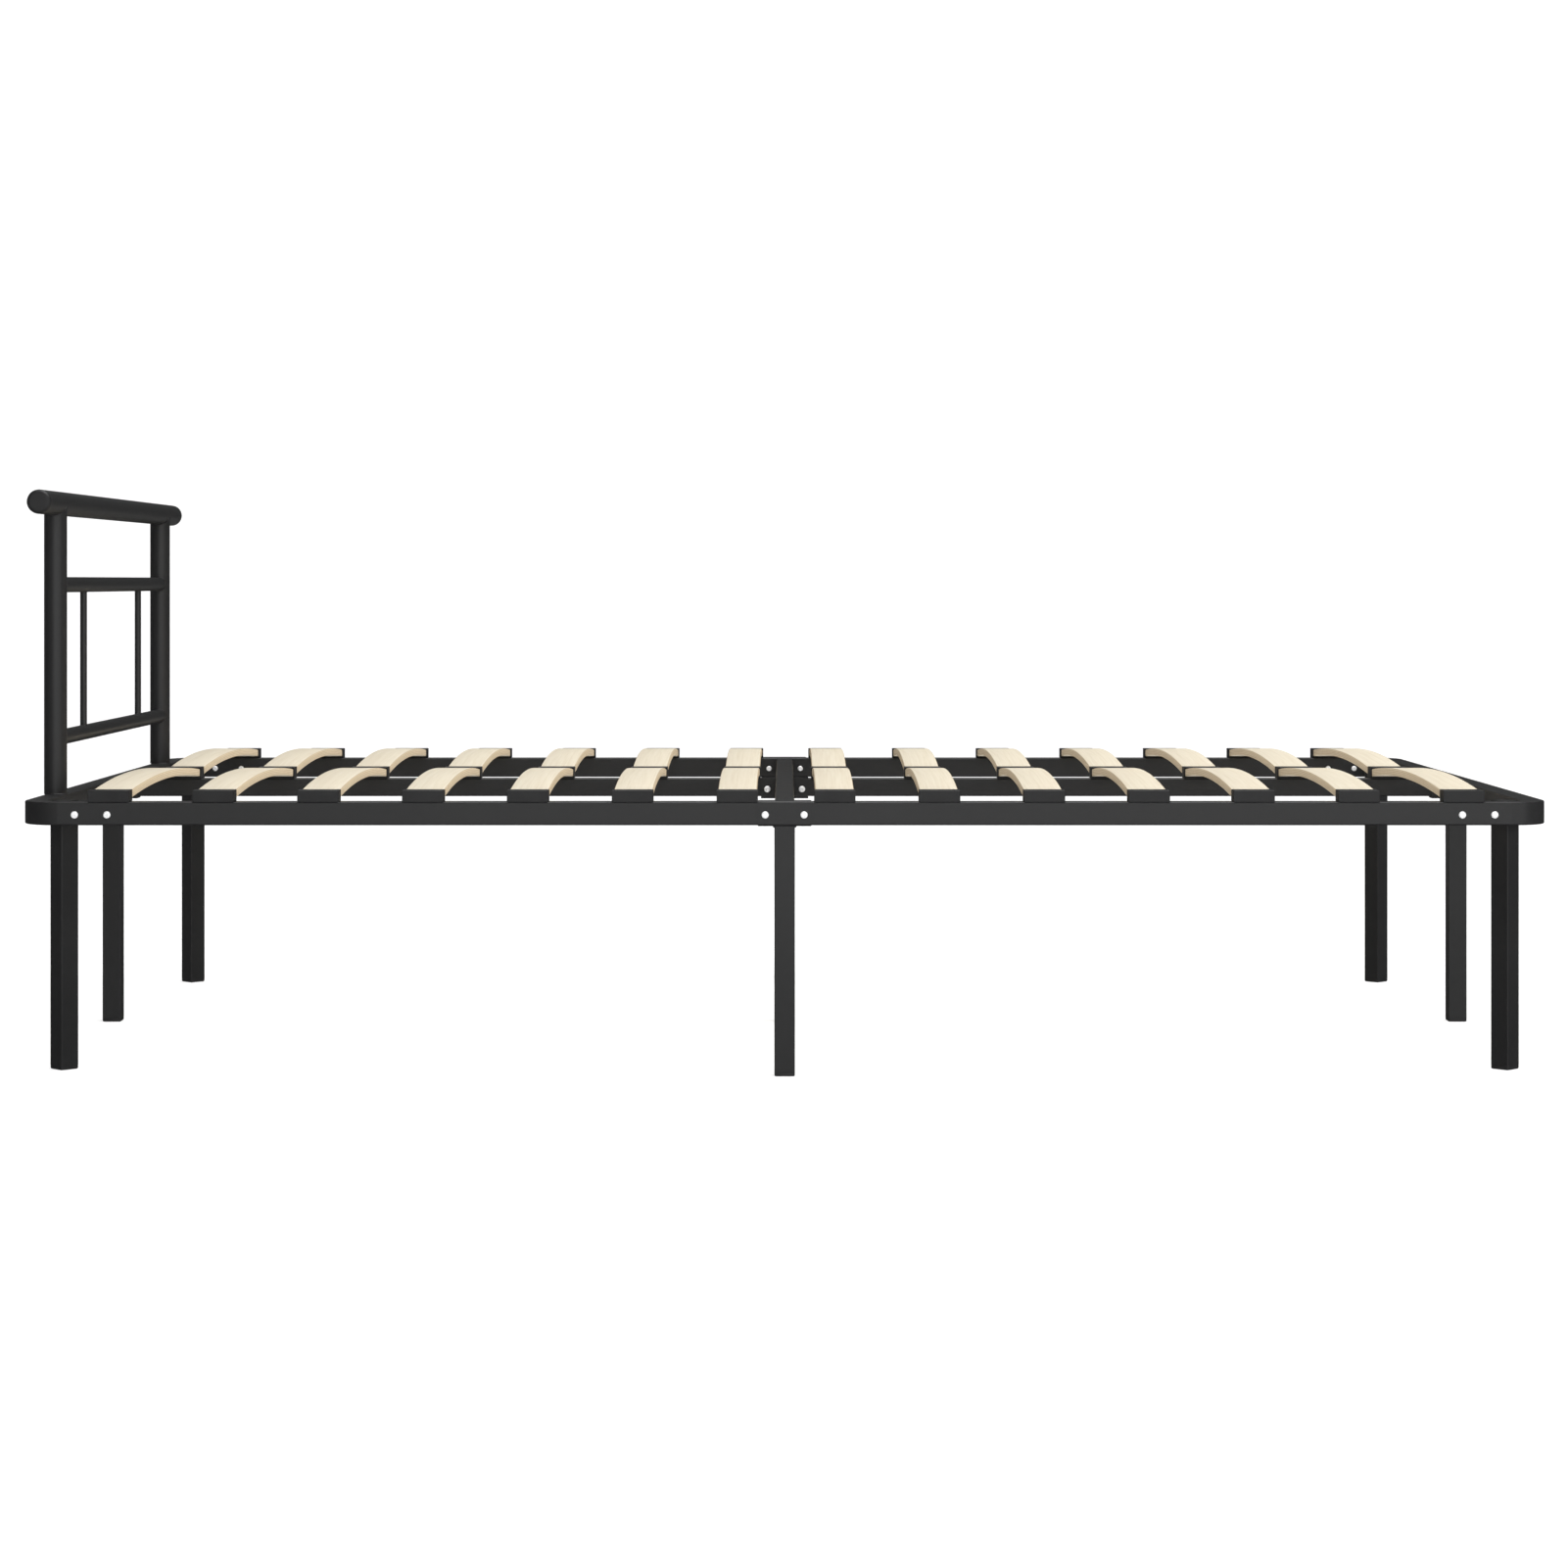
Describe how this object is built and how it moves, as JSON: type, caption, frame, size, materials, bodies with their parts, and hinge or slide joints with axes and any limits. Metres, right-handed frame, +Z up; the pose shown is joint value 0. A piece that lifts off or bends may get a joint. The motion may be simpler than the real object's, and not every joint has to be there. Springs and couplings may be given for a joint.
{
  "type": "metal bed frame",
  "caption": "Bolted black metal bed frame with a low tubular headboard, rounded corners, square legs and two rows of arched plywood slats in plastic caps.",
  "frame": {"origin": "on the floor, under the middle of the bounding box", "axes": "+X from the head to the foot along the bed, +Y across the bed to its right side, +Z up"},
  "size_m": [2.0896, 1.2482, 0.8],
  "materials": {
    "powder_coat": "matte black powder coat",
    "black_plastic": "moulded black plastic",
    "plywood": "clear-lacquered light plywood",
    "zinc": "bright zinc-plated steel"
  },
  "bodies": {
    "root": {"centre_beam_brackets": "powder_coat", "centre_beam_foot": "powder_coat", "centre_beam_head": "powder_coat", "centre_leg_left": "powder_coat", "centre_leg_middle": "powder_coat", "centre_leg_right": "powder_coat", "corner_joint_inserts": "powder_coat", "cross_beam": "powder_coat", "foot_end_rail": "powder_coat", "foot_leg_left": "powder_coat", "foot_leg_middle": "powder_coat", "foot_leg_right": "powder_coat", "foot_plugs": "black_plastic", "head_end_rail": "powder_coat", "head_leg_left": "powder_coat", "head_leg_middle": "powder_coat", "head_leg_right": "powder_coat", "headboard_bars": "powder_coat", "headboard_lower_rail": "powder_coat", "headboard_middle_rail": "powder_coat", "headboard_post_left": "powder_coat", "headboard_post_right": "powder_coat", "headboard_top_rail": "powder_coat", "joint_bolts_and_nuts": "zinc", "side_joint_sleeves": "powder_coat", "side_rail_foot_left": "powder_coat", "side_rail_foot_right": "powder_coat", "side_rail_head_left": "powder_coat", "side_rail_head_right": "powder_coat", "slat_caps_centre": "black_plastic", "slat_caps_rails": "black_plastic", "slat_left_01": "plywood", "slat_left_02": "plywood", "slat_left_03": "plywood", "slat_left_04": "plywood", "slat_left_05": "plywood", "slat_left_06": "plywood", "slat_left_07": "plywood", "slat_left_08": "plywood", "slat_left_09": "plywood", "slat_left_10": "plywood", "slat_left_11": "plywood", "slat_left_12": "plywood", "slat_left_13": "plywood", "slat_left_14": "plywood", "slat_right_01": "plywood", "slat_right_02": "plywood", "slat_right_03": "plywood", "slat_right_04": "plywood", "slat_right_05": "plywood", "slat_right_06": "plywood", "slat_right_07": "plywood", "slat_right_08": "plywood", "slat_right_09": "plywood", "slat_right_10": "plywood", "slat_right_11": "plywood", "slat_right_12": "plywood", "slat_right_13": "plywood", "slat_right_14": "plywood", "top_rail_end_plugs": "black_plastic"}
  },
  "joints": []
}
